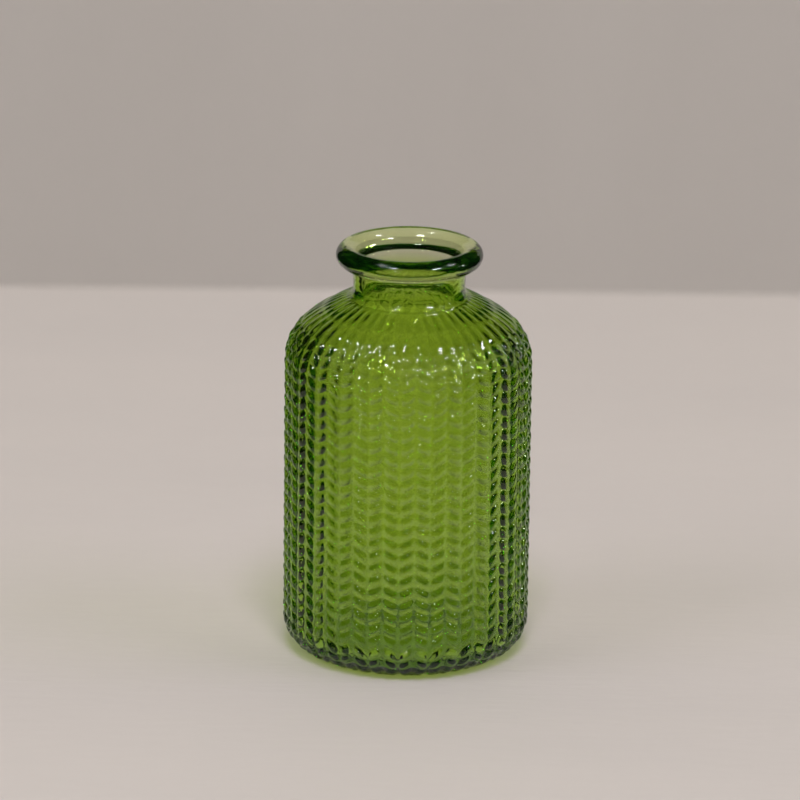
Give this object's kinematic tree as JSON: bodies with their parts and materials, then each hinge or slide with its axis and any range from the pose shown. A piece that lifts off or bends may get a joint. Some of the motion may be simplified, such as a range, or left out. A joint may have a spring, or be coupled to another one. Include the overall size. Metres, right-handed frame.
{
  "type": "bud vase",
  "caption": "Small bottle-shaped bud vase in pressed green glass: cylindrical textured body, round shoulder, short neck and a thick rolled lip.",
  "frame": {"origin": "centre of the foot, in the plane that the vase stands on", "axes": "+Z along the vase's axis, up out of the mouth; X and Y are alike, because the vase is round"},
  "size_m": [0.06, 0.06, 0.1015],
  "materials": {
    "green_glass": "clear olive-green moulded glass, fire polished, with a raised chevron texture on the body"
  },
  "bodies": {
    "root": {"vase_body": "green_glass"}
  },
  "joints": []
}
